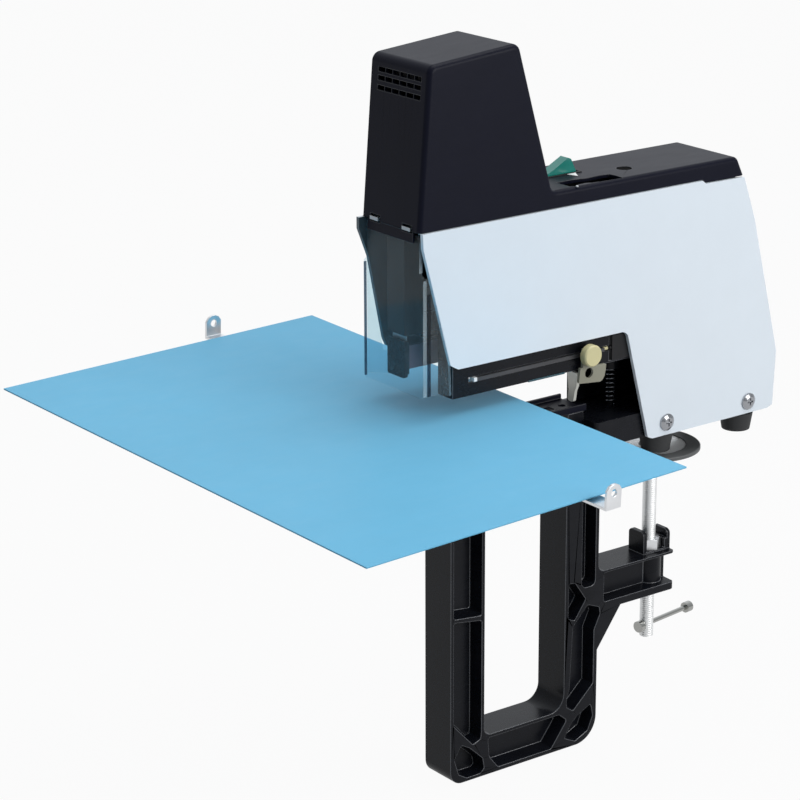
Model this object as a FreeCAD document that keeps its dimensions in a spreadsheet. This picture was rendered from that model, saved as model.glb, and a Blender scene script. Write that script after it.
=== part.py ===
import FreeCAD, Part
import math
import os
import Sketcher
from FreeCAD import Rotation, Vector

# Electric saddle stapler clamped to a table edge.
# Millimetres. +Z is up, -Y is the front, +X is the side with the depth stop.
# Origin: centre plane (x = 0), front face of the nose (y = 0), table top (z = 0).

os.makedirs("parts", exist_ok=True)
doc = FreeCAD.newDocument("saddle_stapler")

# Sizes

SIZES = [
    ("body_half", 25.5, "half width over the side panels"),
    ("panel_wall", 2.2, "side panel thickness"),
    ("cover_half", 24.3, "half width of the top cover"),
    ("cover_wall", 2.0, "top cover wall"),
    ("deck_height", 160.4, "top of the cover's flat deck"),
    ("rim_height", 151.2, "lower rim of the top cover"),
    ("cast_half", 11.4, "half width of the hanging frame casting"),
    ("web_half", 3.4, "half thickness of the casting's web"),
    ("leg_front", 26.5, "front face of the front leg"),
    ("leg_inner", 50.0, "front side of the window"),
    ("leg_rear_in", 106.9, "rear side of the window"),
    ("leg_rear", 131.0, "rear face of the rear leg"),
    ("beam_top", -145.0, "lower side of the window"),
    ("beam_low", -169.0, "underside of the casting"),
    ("arm_top", -67.5, "top of the clamp arm"),
    ("arm_low", -91.0, "underside of the clamp arm"),
    ("arm_end", 188.8, "rear end of the clamp arm"),
    ("screw_y", 178.0, "clamp spindle axis"),
    ("spindle_radius", 3.9, "clamp spindle radius"),
    ("nut_radius", 3.95, "bore radius of the clamp nut"),
    ("pad_radius", 28.0, "clamp pad radius"),
    ("pad_low", -5.9, "underside of the clamp pad"),
    ("bar_height", -114.0, "tommy bar axis height"),
    ("bar_radius", 1.4, "tommy bar radius"),
    ("bed_low", 30.0, "underside of the bed rails"),
    ("bed_floor", 31.4, "floor between the bed rails"),
    ("bed_top", 34.0, "top of the bed rails"),
    ("bed_end", 120.0, "rear end of the bed rails"),
    ("base_half", 22.5, "half width of the base casting"),
    ("base_low", 11.0, "underside of the base casting"),
    ("base_top", 25.5, "top of the base casting"),
    ("base_front", 118.0, "front face of the base casting"),
    ("base_rear", 247.0, "rear face of the base casting"),
    ("foot_radius", 8.0, "lower radius of a rubber foot"),
    ("staple_y", 3.0, "staple line when the head is down"),
    ("housing_half", 22.0, "half width of the fixed upper arm"),
    ("housing_low", 58.5, "underside of the fixed upper arm on the side of the stop"),
    ("far_low", 74.0, "underside of the fixed upper arm on the far side"),
    ("housing_top", 104.0, "top of the fixed upper arm"),
    ("housing_front", 19.0, "front face of the fixed upper arm"),
    ("pivot_y", 205.0, "head pivot axis, along the depth"),
    ("pivot_height", 78.0, "head pivot axis height"),
    ("pivot_radius", 4.0, "head pivot pin radius"),
    ("nose_half", 7.4, "half width of the nose plate"),
    ("nose_low", 70.1, "lower edge of the nose plate"),
    ("guard_wall", 1.2, "clear guard thickness"),
    ("guard_low", 63.4, "lower edge of the clear guard"),
    ("spring_y", 147.0, "return spring axis"),
    ("stop_height", 67.45, "height of the stop knob axis"),
    ("stop_y", 108.3, "depth of the stop knob axis"),
    ("coil_y", 26.0, "solenoid axis"),
    ("yoke_half", 19.2, "half width of the solenoid yoke"),
    ("rocker_near", -3.0, "near side of the rocker"),
    ("rocker_far", -9.4, "far side of the rocker"),
    ("sheet_long", 297.0, "long side of the flat table"),
    ("sheet_short", 210.0, "short side of the flat table"),
    ("sheet_thick", 0.8, "thickness of the flat table"),
]

table = doc.addObject("Spreadsheet::Sheet", "sizes")
for row, (alias, value, note) in enumerate(SIZES, start=1):
    table.set("A%d" % row, note)
    table.set("B%d" % row, str(value))
    table.setAlias("B%d" % row, alias)
doc.recompute()


class Size:
    """A length together with the sheet expression that gives it."""

    def __init__(self, value, text):
        self.value = value
        self.text = text

    def join(self, other, sign):
        other = as_size(other)
        if sign == "+":
            value = self.value + other.value
        elif sign == "-":
            value = self.value - other.value
        else:
            value = self.value * other.value
        return Size(value, "(%s %s %s)" % (self.text, sign, other.text))

    def __add__(self, other):
        return self.join(other, "+")

    def __radd__(self, other):
        return self.join(other, "+")

    def __sub__(self, other):
        return self.join(other, "-")

    def __rsub__(self, other):
        return as_size(other).join(self, "-")

    def __mul__(self, other):
        return self.join(other, "*")

    def __rmul__(self, other):
        return self.join(other, "*")

    def __neg__(self):
        return as_size(0).join(self, "-")


def as_size(item):
    if isinstance(item, Size):
        return item
    return Size(float(item), "%.4f" % item)


class Named:
    pass


d = Named()
for alias, value, note in SIZES:
    setattr(d, alias, Size(value, "sizes.%s" % alias))

done = []


def unit_count(label):
    return "%s_%d" % (label, len(doc.Objects))


# Helpers for sketches, solids and their joins

PLANES = {"xy": ("XY_Plane", 1), "xz": ("XZ_Plane", -1), "yz": ("YZ_Plane", 1)}


def add_loop(sketch, points):
    first = sketch.GeometryCount
    pairs = [(as_size(a), as_size(b)) for a, b in points]
    count = len(pairs)
    for i in range(count):
        a, b = pairs[i]
        c, e = pairs[(i + 1) % count]
        start = Vector(a.value, b.value, 0)
        sketch.addGeometry(Part.LineSegment(start, Vector(c.value, e.value, 0)))
    for i in range(count):
        here = first + i
        after = first + (i + 1) % count
        sketch.addConstraint(Sketcher.Constraint("Coincident", here, 2, after, 1))
    for i, (a, b) in enumerate(pairs):
        for kind, size in (("DistanceX", a), ("DistanceY", b)):
            at = sketch.addConstraint(Sketcher.Constraint(kind, -1, 1, first + i, 1, size.value))
            sketch.setExpression("Constraints[%d]" % at, size.text)


def add_ring(sketch, ring):
    a, b, radius = [as_size(item) for item in ring]
    at = sketch.addGeometry(Part.Circle(Vector(a.value, b.value, 0), Vector(0, 0, 1), radius.value))
    for kind, size in (("DistanceX", a), ("DistanceY", b)):
        row = sketch.addConstraint(Sketcher.Constraint(kind, -1, 1, at, 3, size.value))
        sketch.setExpression("Constraints[%d]" % row, size.text)
    row = sketch.addConstraint(Sketcher.Constraint("Radius", at, radius.value))
    sketch.setExpression("Constraints[%d]" % row, radius.text)


def prism(label, plane, loops, low, high, rings=()):
    """Pad of closed outlines on a main plane, from low to high along its axis."""
    low = as_size(low)
    high = as_size(high)
    role, way = PLANES[plane]
    body = doc.addObject("PartDesign::Body", unit_count(label))
    flat = [item for item in body.Origin.OriginFeatures if item.Role == role][0]
    sketch = body.newObject("Sketcher::SketchObject", unit_count(label + "_outline"))
    sketch.AttachmentSupport = [(flat, "")]
    sketch.MapMode = "FlatFace"
    start = low if way > 0 else -high
    sketch.setExpression("AttachmentOffset.Base.z", start.text)
    for points in loops:
        add_loop(sketch, points)
    for ring in rings:
        add_ring(sketch, ring)
    pad = body.newObject("PartDesign::Pad", unit_count(label + "_pad"))
    pad.Profile = sketch
    pad.setExpression("Length", (high - low).text)
    doc.recompute()
    body.Label = label
    return body


def round_edges(body, plane, radius, corners):
    """Round the edges that run along the pad through the given corners."""
    names = []
    before = body.Tip
    for at, edge in enumerate(before.Shape.Edges, start=1):
        ends = [vertex.Point for vertex in edge.Vertexes]
        if len(ends) != 2:
            continue
        flats = []
        for point in ends:
            views = {"xy": (point.x, point.y), "xz": (point.x, point.z), "yz": (point.y, point.z)}
            flats.append(views[plane])
        for a, b in corners:
            a = as_size(a).value
            b = as_size(b).value
            if all(abs(p - a) < 0.02 and abs(q - b) < 0.02 for p, q in flats):
                names.append("Edge%d" % at)
    fillet = body.newObject("PartDesign::Fillet", unit_count("round"))
    fillet.Base = (before, names)
    fillet.setExpression("Radius", as_size(radius).text)
    doc.recompute()
    if not names or fillet.Shape.isNull() or "Invalid" in fillet.State:
        raise RuntimeError("%s: rounding failed" % body.Label)
    return body


def place(item, x, y, z):
    for key, size in zip("xyz", (x, y, z)):
        item.setExpression("Placement.Base.%s" % key, as_size(size).text)


def box(label, x, y, z):
    """Box given by its low and high bound on each axis."""
    item = doc.addObject("Part::Box", unit_count(label))
    for key, (low, high) in zip(("Length", "Width", "Height"), (x, y, z)):
        item.setExpression(key, (as_size(high) - low).text)
    place(item, x[0], y[0], z[0])
    item.Label = unit_count(label)
    return item


TURNS = {"x": Rotation(Vector(0, 1, 0), 90), "y": Rotation(Vector(1, 0, 0), -90), "z": Rotation()}


def rod(label, axis, base, length, radius, top_radius=None):
    """Cylinder or cone that starts at base and runs along the positive axis."""
    kind = "Part::Cylinder" if top_radius is None else "Part::Cone"
    item = doc.addObject(kind, unit_count(label))
    if top_radius is None:
        item.setExpression("Radius", as_size(radius).text)
    else:
        item.setExpression("Radius1", as_size(radius).text)
        item.setExpression("Radius2", as_size(top_radius).text)
    item.setExpression("Height", as_size(length).text)
    item.Placement = FreeCAD.Placement(Vector(), TURNS[axis])
    place(item, *base)
    item.Label = unit_count(label)
    return item


def fuse(label, items):
    item = doc.addObject("Part::MultiFuse", unit_count(label))
    item.Shapes = items
    item.Refine = True
    item.Label = unit_count(label)
    doc.recompute()
    return item


def cut(label, base, tools):
    tool = tools[0] if len(tools) == 1 else fuse(label + "_tools", tools)
    item = doc.addObject("Part::Cut", unit_count(label))
    item.Base = base
    item.Tool = tool
    item.Refine = True
    item.Label = unit_count(label)
    doc.recompute()
    return item


def common(label, base, tool):
    item = doc.addObject("Part::Common", unit_count(label))
    item.Base = base
    item.Tool = tool
    item.Label = unit_count(label)
    doc.recompute()
    return item


def inset(points, amount):
    """Corners of a closed outline, each moved in by the same distance from its two sides."""
    pairs = [(as_size(a), as_size(b)) for a, b in points]
    flat = [Vector(a.value, b.value, 0) for a, b in pairs]
    area = sum(flat[i - 1].x * flat[i].y - flat[i].x * flat[i - 1].y for i in range(len(flat)))
    side = 1 if area > 0 else -1
    moved = []
    for i, (a, b) in enumerate(pairs):
        before = flat[i] - flat[i - 1]
        after = flat[(i + 1) % len(flat)] - flat[i]
        before.normalize()
        after.normalize()
        first = Vector(-before.y, before.x, 0) * side
        second = Vector(-after.y, after.x, 0) * side
        step = (first + second) * (amount / (1 + first.dot(second)))
        moved.append((a + step.x, b + step.y))
    return moved


def drafted(label, points, draft, low, high, radius):
    """Pocket tool on the yz plane whose outline at high shrinks by the draft on its way to low."""
    sections = []
    for loop, level in ((inset(points, draft), low), (points, high)):
        sketch = doc.addObject("Sketcher::SketchObject", unit_count(label + "_outline"))
        add_loop(sketch, loop)
        sketch.Placement = FreeCAD.Placement(Vector(), Rotation(Vector(1, 1, 1), 120))
        sketch.setExpression("Placement.Base.x", as_size(level).text)
        sections.append(sketch)
    doc.recompute()
    loft = doc.addObject("Part::Loft", unit_count(label))
    loft.Sections = sections
    loft.Solid = True
    loft.Ruled = True
    doc.recompute()
    rounds = []
    for at, edge in enumerate(loft.Shape.Edges, start=1):
        if edge.BoundBox.XLength > 1:
            rounds.append((at, radius, radius))
    item = doc.addObject("Part::Fillet", unit_count(label + "_round"))
    item.Base = loft
    item.Edges = rounds
    doc.recompute()
    if item.Shape.isNull() or not item.Shape.isValid():
        raise RuntimeError("%s: rounding failed" % label)
    return item


def finish(item, node):
    """Give the finished sub-part its node name and write it out."""
    doc.recompute()
    item.Label = node
    bad = [state for state in item.State if state in ("Invalid", "Error")]
    shape = item.Shape
    if bad or shape.isNull() or not shape.isValid():
        raise RuntimeError("%s has no valid solid" % node)
    if len(shape.Solids) != 1:
        raise RuntimeError("%s has %d solids" % (node, len(shape.Solids)))
    shape.exportStep("parts/%s.step" % node)
    size = shape.BoundBox
    done.append(node)
    print("%-20s vol %9.1f  x %7.1f %7.1f  y %7.1f %7.1f  z %7.1f %7.1f" % (
        node, shape.Volume, size.XMin, size.XMax, size.YMin, size.YMax, size.ZMin, size.ZMax))


# Coil springs: one round wire along a helix of quarter-turn biarcs


def arc_from(start, way, end):
    chord = end - start
    side = way - chord * (way.dot(chord) / chord.dot(chord))
    lean = math.atan2(side.Length * chord.Length, way.dot(chord))
    side.normalize()
    middle = start + chord * 0.5 + side * (chord.Length * 0.5 * math.tan(lean / 2))
    return Part.Arc(start, middle, end).toShape()


def biarc(start, way_in, end, way_out):
    span = end - start
    both = way_in + way_out
    open_part = 2 * (1 - way_in.dot(way_out))
    reach = (math.sqrt(span.dot(both) ** 2 + open_part * span.dot(span)) - span.dot(both)) / open_part
    meet = (start + way_in * reach + end - way_out * reach) * 0.5
    way = meet - start - way_in * reach
    way.normalize()
    return [arc_from(start, way_in, meet), arc_from(meet, way, end)]


def coil_spring(node, base, axis, radius, wire, length, turns):
    """Round wire wound on a helix that starts at base and climbs along the axis."""
    pitch = (length - 2 * wire) / turns
    turn = TURNS[axis]

    def point(angle):
        climb = wire + pitch * angle / (2 * math.pi)
        return base + turn.multVec(Vector(radius * math.cos(angle), radius * math.sin(angle), climb))

    def heading(angle):
        way = Vector(-radius * math.sin(angle), radius * math.cos(angle), pitch / (2 * math.pi))
        way.normalize()
        return turn.multVec(way)

    edges = []
    quarter = math.pi / 2
    for step in range(int(4 * turns)):
        a = step * quarter
        b = a + quarter
        edges = edges + biarc(point(a), heading(a), point(b), heading(b))
    path = Part.Wire(edges)
    ring = Part.Wire([Part.Circle(point(0), heading(0), wire).toShape()])
    solid = path.makePipeShell([ring], True, False)
    count = int(4 * turns) * 6
    marks = [point(quarter * 4 * turns * i / count) for i in range(count + 1)]
    pairs = [(i, j) for i in range(count + 1) for j in range(i + 18, count + 1)]
    least = min((marks[i] - marks[j]).Length for i, j in pairs)
    print("%s least gap to itself %.2f mm" % (node, least - 2 * wire))
    item = doc.addObject("Part::Feature", unit_count(node))
    item.Shape = solid
    finish(item, node)


# The hanging frame: window casting with the clamp arm


def build_saddle_frame():
    side = [
        (-9, d.bed_low), (-9, d.bed_low - 9), (d.leg_front, -12), (d.leg_front, d.beam_low),
        (d.leg_rear, d.beam_low), (d.leg_rear, -114.3), (147.9, d.arm_low), (d.arm_end, d.arm_low),
        (d.arm_end, d.arm_top), (d.leg_rear, d.arm_top), (d.leg_rear, d.base_low),
        (d.base_front, d.base_low), (d.base_front, d.bed_low), (d.leg_rear_in, d.bed_low),
        (d.leg_rear_in, d.beam_top), (d.leg_inner, d.beam_top), (d.leg_inner, d.bed_low),
    ]
    cast = prism("frame_cast", "yz", [side], -d.cast_half, d.cast_half)
    round_edges(cast, "yz", 8, [(d.leg_front, d.beam_low)])
    round_edges(cast, "yz", 15, [(d.leg_rear, d.beam_low)])
    round_edges(cast, "yz", 4.5, [(d.leg_inner, d.beam_top), (d.leg_rear, d.arm_top)])
    round_edges(cast, "yz", 10, [(d.leg_rear_in, d.beam_top)])
    round_edges(cast, "yz", 1.2, [(d.arm_end, d.arm_low), (d.arm_end, d.arm_top)])
    reach = [(-d.cast_half, -20), (d.cast_half, -20), (d.cast_half, d.arm_end), (-d.cast_half, d.arm_end)]
    limit = prism("frame_limit", "xy", [reach], -200, 60)
    round_edges(limit, "xy", 3.5, reach[2:])
    cast = common("frame_ended", cast, limit)
    front = d.leg_front + 2.0
    inner = d.leg_inner - 1.9
    under = d.arm_low + 4.5
    over = d.arm_top - 1.5
    upper = [(front, 14), (front, -71), (inner, -73.2), (inner, 14)]
    lower = [
        (front, -72.8), (front, -133.5), (42.1, -148.4), (47.6, -146.2), (inner, -142), (inner, -75.8),
    ]
    toe = [
        (29.2, -154), (34, -146.2), (40, -149.6), (49.0, -158.1), (50.2, -164.6), (47.1, -167), (38, -167),
        (32.2, -163.6),
    ]
    beam = [(52.5, -147), (103.8, -147), (109.5, -151.8), (98.1, -166.6), (59.9, -166.6), (53.6, -158.7)]
    heel = [
        (116.9, -151.3), (127, -146.3), (128.6, -154), (125, -162.3), (115.7, -166.6), (107.6, -162.7),
        (112.6, -155.1),
    ]
    shin = [
        (112.9, -96), (123.6, -85.2), (132, -88.6), (132.8, -92.7), (128.4, -101.7), (128.4, -134.1),
        (113.9, -147.4), (109.2, -144.2), (109, -139), (110.9, -133.7),
    ]
    knee = [(109.5, -69.6), (114, -70.1), (122, -81.5), (114, -92.6), (109.5, -90.6)]
    thigh = [(118.8, 8), (118.8, -74.6), (128.8, -74.6), (128.6, 8)]
    arm = [(135.2, under), (200, under), (200, over), (135.2, over)]
    tools = []
    for label, loop, draft, radius in (
        ("upper", upper, 2.4, 1.5), ("lower", lower, 2.2, 1.2), ("toe", toe, 1.5, 1.2),
        ("beam", beam, 2.2, 1.5), ("heel", heel, 1.5, 1.2), ("shin", shin, 1.6, 1.0),
        ("knee", knee, 1.0, 1.2), ("thigh", thigh, 1.2, 3.2), ("arm", arm, 0.8, 1.5),
    ):
        for web, face in ((d.web_half, d.cast_half + 0.5), (-d.web_half, -d.cast_half - 0.5)):
            tools.append(drafted(label + "_pocket", loop, draft, web, face, radius))
    tools.append(prism("arm_open_end", "yz", [[
        (187.2, over), (200, over), (200, d.arm_low + 2), (d.arm_end, d.arm_low + 2), (188, under),
        (187.2, under + 1),
    ]], -12, 12))
    base = cut("frame_webbed", cast, tools)
    boss = rod("frame_boss", "z", (0, d.screw_y, d.arm_low), d.arm_top - d.arm_low, 7.5)
    seat = box("nut_seat", (-7, 6.8), (171, 185), (d.arm_top - 0.5, d.arm_top + 1.0))
    stop = box("nut_stop", (-6.6, 6.4), (184.6, 187.0), (d.arm_top - 0.5, -61))
    ears = []
    for front, back, top in ((168.7, 171.4, -54.3), (186.5, d.arm_end, -56.0)):
        ear = prism("frame_ear", "xz", [[(-6.6, -68), (6.4, -68), (6.4, top), (-6.6, top)]], front, back)
        round_edges(ear, "xz", 3, [(-6.6, top), (6.4, top)])
        ears.append(ear)
    whole = fuse("frame_whole", [base, boss, seat, stop] + ears)
    bore = rod("frame_bore", "z", (0, d.screw_y, -100), 50, 4.4)
    bolts = [rod("frame_bolt", "z", (0, y, 8), 30, 2.1) for y in (0, 112)]
    finish(cut("frame", whole, [bore] + bolts), "saddle_frame")


def build_bed():
    outer = [(-d.cast_half, -9), (d.cast_half, -9), (d.cast_half, d.bed_end), (-d.cast_half, d.bed_end)]
    slot = [(-3, 14), (3, 14), (3, 105), (-3, 105)]
    floor = prism("rails", "xy", [outer, slot], d.bed_low, d.bed_floor)
    round_edges(floor, "xy", 1.5, slot)
    sides = []
    for low in (-d.cast_half, d.cast_half - 1.4):
        sides.append(box("rail", (low, low + 1.4), (-9, d.bed_end), (d.bed_low, d.bed_top)))
    bolts = [rod("rail_bolt", "z", (0, y, 20), 30, 2.1) for y in (0, 112)]
    finish(cut("bed", fuse("bed_channel", [floor] + sides), bolts), "bed_rails")
    outer = [(-9.8, -7), (9.8, -7), (9.8, 10), (-9.8, 10)]
    block = prism("anvil", "xy", [outer], d.bed_floor, 45.8)
    round_edges(block, "xy", 2, outer)
    finish(block, "anvil_block")
    edge = 1.6
    outer = [(-7, d.staple_y - edge), (7, d.staple_y - edge), (7, d.staple_y + edge), (-7, d.staple_y + edge)]
    plate = prism("crimp", "xy", [outer], 45.8, 49.1)
    round_edges(plate, "xy", 0.8, outer)
    grooves = []
    for x in (-4.6, 4.6):
        grooves.append(rod("crimp_groove", "y", (x, d.staple_y - 1, 50.2), 2, 1.9))
    finish(cut("crimp_plate", plate, grooves), "anvil_plate")


def build_base():
    outer = [(-d.base_half, d.base_front), (d.base_half, d.base_front), (d.base_half, d.base_rear - 1.5),
             (-d.base_half, d.base_rear - 1.5)]
    block = prism("base", "xy", [outer], d.base_low, d.base_top)
    round_edges(block, "xy", 2, outer)
    room = [(-19, 134), (19, 134), (19, 242), (-19, 242)]
    hollow = prism("base_hollow", "xy", [room], d.base_low - 1, 21.5)
    round_edges(hollow, "xy", 4, room)
    shell = cut("base_shell", block, [hollow])
    extras = []
    for y in (166.3, 227.2):
        extras.append(box("base_rib", (-20, 20), (y - 4, y + 4), (d.base_low, 22)))
    for sign in (-1, 1):
        low = 14.5 if sign > 0 else -20.0
        lug = prism("base_lug", "yz", [[
            (192, 24), (218, 24), (214, 82), (210, 88), (200, 88), (196, 82),
        ]], low, low + 5.5)
        extras.append(lug)
        for y in (166.3, 227.9):
            x = d.base_half - 0.5 if sign > 0 else -(d.base_half + 0.75)
            extras.append(rod("base_boss", "x", (x, y, 17.7), 1.25, 5.5))
    extras.append(box("base_wall", (-22, -17), (134, 194), (d.base_top - 1, d.far_low)))
    extras.append(rod("spring_peg", "z", (0, d.spring_y, d.base_top - 1), 4.5, 1.7))
    whole = fuse("base_whole", [shell] + extras)
    holes = [rod("pin_bore", "x", (-25, d.pivot_y, d.pivot_height), 50, d.pivot_radius + 0.05)]
    for y in (166.3, 227.9):
        holes.append(rod("screw_bore", "x", (-25, y, 17.7), 50, 1.95))
    holes.append(rod("frame_bolt_hole", "z", (0, 124.5, 5), 30, 2.1))
    for x in (-16.8, 16.8):
        for y in (166.3, 227.2):
            holes.append(rod("foot_hole", "z", (x, y, d.base_low - 1), 6, 2.0))
    finish(cut("base_cast", whole, holes), "base_casting")


def build_feet():
    for at, (x, y) in enumerate(((16.8, 166.3), (-16.8, 166.3), (16.8, 227.2), (-16.8, 227.2)), start=1):
        foot = rod("foot", "z", (x, y, 0), 10, d.foot_radius, 9.6)
        stud = fuse("foot_top", [
            rod("foot_neck", "z", (x, y, 9.5), d.base_low - 9.5, 6),
            rod("foot_stud", "z", (x, y, d.base_low - 1), 5, 1.95),
        ])
        whole = fuse("foot_whole", [foot, stud])
        dip = rod("foot_dip", "z", (x, y, -1), 4, 3.2)
        finish(cut("foot_done", whole, [dip]), "rubber_foot_%d" % at)


def build_panels():
    low_edge = [
        (135.9, 75.5), (152.7, 11.5), (156.1, 10.1), (243.3, 10.7), (247, 12.2), (248.5, 44.1),
        (228.2, 123.6), (219.2, 148.8), (190.7, 149.2), (188.3, d.rim_height - 0.1),
    ]
    fronts = {
        "right": [(-2.7, d.rim_height - 0.1), (-2.3, 143), (15.2, 78.5), (20.2, 75.6)],
        "left": [
            (-7.2, d.rim_height - 0.1), (-7.2, 145), (-1.1, 129.5), (8.4, 83), (10.5, 78.5), (20.2, 75.6),
        ],
    }
    for sign, side in ((1, "right"), (-1, "left")):
        low = d.body_half - d.panel_wall if sign > 0 else -d.body_half
        plate = prism("panel", "yz", [fronts[side] + low_edge], low, low + d.panel_wall)
        round_edges(plate, "yz", 5, [(135.9, 75.5)])
        round_edges(plate, "yz", 2.5, [(20.2, 75.6), (248.5, 44.1)])
        round_edges(plate, "yz", 2, fronts[side][-2:-1])
        inner = d.body_half - 6
        x = (inner, d.body_half - 1) if sign > 0 else (-(d.body_half - 1), -inner)
        lip = box("panel_lip", x, (-1.1, 187), (149.9, d.rim_height - 0.1))
        whole = fuse("panel_whole", [plate, lip])
        tools = [rod("panel_hole", "x", (-30, y, 17.7), 60, 2.1) for y in (166.3, 227.9)]
        if sign > 0:
            tools.append(box("lip_notch", (19, 22.6), (94, 137), (148, 153)))
        finish(cut("panel_done", whole, tools), "side_panel_" + side)


def build_panel_screws():
    at = 0
    for sign in (1, -1):
        for y in (166.3, 227.9):
            at = at + 1
            face = d.body_half if sign > 0 else -d.body_half
            head = rod("screw_head", "x", (face if sign > 0 else face - 0.9, y, 17.7), 0.9, 4.8)
            if sign > 0:
                crown = rod("screw_crown", "x", (face + 0.9, y, 17.7), 1.2, 4.8, 2.9)
            else:
                crown = rod("screw_crown", "x", (face - 2.1, y, 17.7), 1.2, 2.9, 4.8)
            dome = fuse("screw_cap", [head, crown])
            start = face - 9 if sign > 0 else face
            shank = rod("screw_shank", "x", (start, y, 17.7), 9, 1.9)
            whole = fuse("screw_whole", [dome, shank])
            x = (face + 1.0, face + 3) if sign > 0 else (face - 3, face - 1.0)
            cross = [
                box("screw_slot", x, (y - 2.1, y + 2.1), (17.7 - 0.5, 17.7 + 0.5)),
                box("screw_slot", x, (y - 0.5, y + 0.5), (17.7 - 2.1, 17.7 + 2.1)),
            ]
            finish(cut("screw_done", whole, cross), "panel_screw_%d" % at)


# The upper shell


def round_rim(body, side, lowest, radius):
    """Round the run of edges on one end face of a pad, apart from those that stay below a height."""
    names = []
    before = body.Tip
    for at, edge in enumerate(before.Shape.Edges, start=1):
        size = edge.BoundBox
        if abs(size.XMin - side) < 0.01 and abs(size.XMax - side) < 0.01 and size.ZMax > lowest:
            names.append("Edge%d" % at)
    fillet = body.newObject("PartDesign::Fillet", unit_count("rim"))
    fillet.Base = (before, names)
    fillet.setExpression("Radius", as_size(radius).text)
    doc.recompute()
    if not names or fillet.Shape.isNull() or "Invalid" in fillet.State:
        raise RuntimeError("%s: rim rounding failed" % body.Label)
    return body


def build_top_cover():
    outer = [
        (-4.1, d.rim_height), (2.6, 236.1), (60.4, 241.3), (83.7, d.deck_height),
        (215.3, d.deck_height), (220.6, 149.4), (190.9, 149.4), (189, d.rim_height),
    ]
    hull = prism("cover_hull", "yz", [outer], -d.cover_half, d.cover_half)
    round_edges(hull, "yz", 5, [(2.6, 236.1), (60.4, 241.3)])
    round_edges(hull, "yz", 4, [(83.7, d.deck_height), (215.3, d.deck_height)])
    round_rim(hull, d.cover_half.value, 151.4, 2.8)
    round_rim(hull, -d.cover_half.value, 151.4, 0.8)
    wall = d.cover_wall
    inner = [
        (-1.9, 140), (-2.0, 151.2), (4.5, 232.4), (7.2, 234.4), (56.2, 238.8), (58.2, 237.6),
        (81.9, d.deck_height - wall), (213.2, d.deck_height - wall), (218.2, 149.4), (218.2, 140),
    ]
    room = prism("cover_room", "yz", [inner], -(d.cover_half - wall), d.cover_half - wall)
    shell = cut("cover_shell", hull, [room])
    skirt = prism("cover_skirt", "yz", [[(-4.4, 145.3), (-3.1, 145.3), (-3.05, 153), (-3.9, 153)]], -20, 19)
    whole = fuse("cover_fused", [shell, skirt])
    tools = []
    for z in (228.7, 224.3, 219.3):
        for i in range(6):
            x = -18 + 6.1 * i
            tools.append(box("vent", (x, x + 5.5), (-4, 9), (z - 1.2, z + 1.2)))
    for sign in (-1, 1):
        x = 13.7 * sign
        tools.append(box("hook_slot", (x - 4.1, x + 4.1), (-8, 0), (150.3, 154.2)))
    well = [
        (9.8, 97.8), (20.2, 98.0), (21.4, 100.5), (19.8, 104), (19.4, 110), (21.6, 114.5), (22.2, 133),
        (15.8, 133.4), (11.6, 132.6), (10.8, 127), (11.4, 117.5), (10.0, 112.5), (9.4, 107),
    ]
    tools.append(prism("well_window", "xy", [well], 155, 165))
    tools.append(rod("lamp_hole", "z", (6, 148.3, 155), 10, 4.3))
    tools.append(box("rocker_window", (-11.7, -0.7), (96.9, 124.5), (155, 165)))
    finish(cut("cover_done", whole, tools), "top_cover")


def build_controls():
    frame = prism("bezel", "xy", [
        [(-11.6, 97), (-0.8, 97), (-0.8, 124.4), (-11.6, 124.4)],
        [(-10, 99), (-2.4, 99), (-2.4, 123.4), (-10, 123.4)],
    ], 152, 160.9)
    bridge = rod("bezel_axle", "x", (-11, 111, 157), 9.5, 1.0)
    finish(fuse("bezel_done", [frame, bridge]), "rocker_bezel")
    side = [
        (100.5, 161.3), (104.9, 162.9), (116.6, 168.9), (118.5, 168.0), (122, 161), (119, 155.4),
        (103, 155.4),
    ]
    rocker = prism("rocker", "yz", [side], d.rocker_far, d.rocker_near, rings=[(111, 157, 1.05)])
    round_edges(rocker, "yz", 0.8, [(116.6, 168.9), (118.5, 168.0)])
    finish(rocker, "rocker_switch")
    tray = box("tray", (8.4, 22.1), (95, 136), (150, 158.2))
    room = box("tray_room", (9.4, 21.3), (96.2, 134.8), (151.2, 159))
    tools = [room, box("tray_slit", (15.9, 17.1), (98, 133), (149, 153))]
    finish(cut("tray_done", tray, tools), "slider_well")
    grip = box("grip", (13.2, 19.8), (116, 124), (151.4, 158.0))
    stem = box("grip_stem", (16.1, 16.9), (118, 122), (147.5, 152))
    finish(fuse("grip_done", [grip, stem]), "force_slider")
    lens = rod("lens", "z", (6, 148.3, 156), 4.0, 4.2)
    flange = rod("lens_flange", "z", (6, 148.3, 155), 3.2, 5.2)
    finish(fuse("lens_done", [lens, flange]), "status_lens")
    board = box("board", (-18, 14), (88, 184), (138, 139.6))
    bits = [
        box("board_chip", (-14, -4), (120, 134), (139.5, 143)),
        rod("board_can", "z", (-10, 170, 139.5), 9, 5),
        rod("board_can", "z", (4, 172, 139.5), 7, 4),
        box("board_relay", (-8, 8), (146, 160), (139.5, 150)),
        box("board_post", (-15, -7), (98, 108), (139.5, 146)),
    ]
    posts = []
    for y in (92, 180):
        for x in (-16, 12):
            posts.append(rod("board_foot", "z", (x, y, d.housing_top), 138.4 - d.housing_top, 2.0))
    finish(fuse("board_done", [board] + bits + posts), "control_board")


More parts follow.
